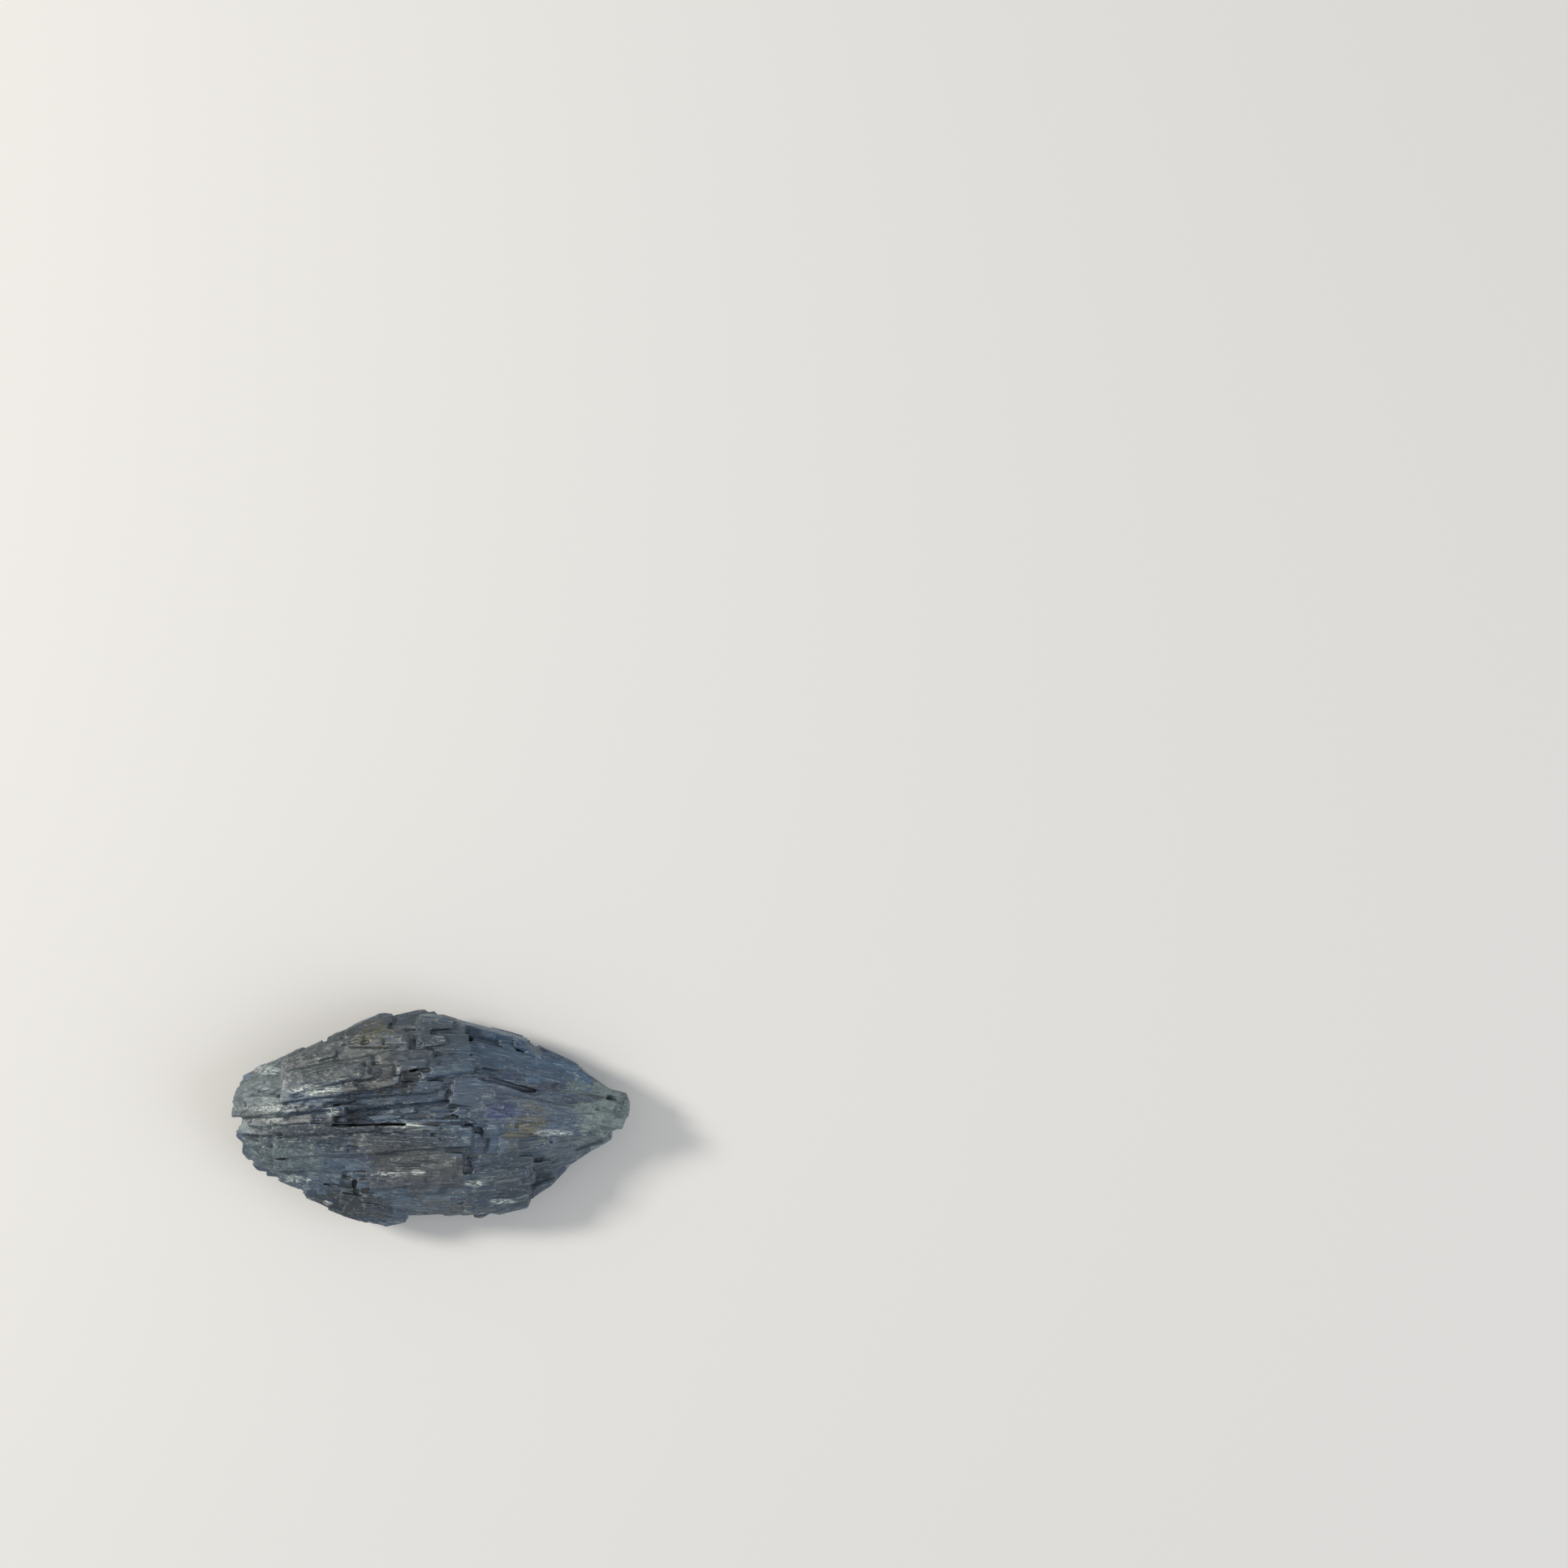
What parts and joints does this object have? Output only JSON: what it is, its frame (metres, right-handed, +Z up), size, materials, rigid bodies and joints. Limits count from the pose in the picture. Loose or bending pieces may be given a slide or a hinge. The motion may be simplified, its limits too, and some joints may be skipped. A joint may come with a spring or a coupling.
{
  "type": "kyanite blade cluster",
  "caption": "Raw blue-grey kyanite: a spindle-shaped bundle of flat blades grown side by side, with stepped ledges, open cleavage cracks and a pointed end.",
  "frame": {"origin": "middle of the bounding box's footprint, on the flat cleavage face that the piece lies on", "axes": "+X along the blades, towards the pointed end; +Y across them, towards the smooth blue facet's side; +Z up, out of the face that shows in the picture"},
  "size_m": [0.0384, 0.0214, 0.01],
  "materials": {
    "kyanite": "cleaved blue-grey kyanite: glassy to pearly on the broad blade faces, silkier and duller where the blades are splintered, slightly translucent at thin edges"
  },
  "bodies": {
    "root": {"kyanite_cluster": "kyanite"}
  },
  "joints": []
}
